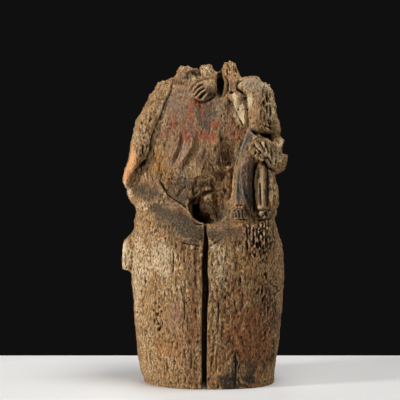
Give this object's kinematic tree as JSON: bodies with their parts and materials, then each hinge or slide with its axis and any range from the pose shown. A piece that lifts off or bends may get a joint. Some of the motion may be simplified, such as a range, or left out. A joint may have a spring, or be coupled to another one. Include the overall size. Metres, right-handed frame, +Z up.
{
  "type": "wooden mother and child sculpture",
  "caption": "Old carved log: a seated robed mother with a small child standing on her knee, both heads lost, the wood worm-eaten and split from the foot to the lap.",
  "frame": {"origin": "on the floor, under the middle of the carving's width and depth", "axes": "+Z up along the log; the carved front faces -Y and the plain back faces +Y; the child stands towards +X"},
  "size_m": [0.363, 0.25, 0.7],
  "materials": {
    "weathered_wood": "matt, dry and worm-eaten, with traces of old paint"
  },
  "bodies": {
    "root": {"mother_and_child": "weathered_wood"}
  },
  "joints": []
}
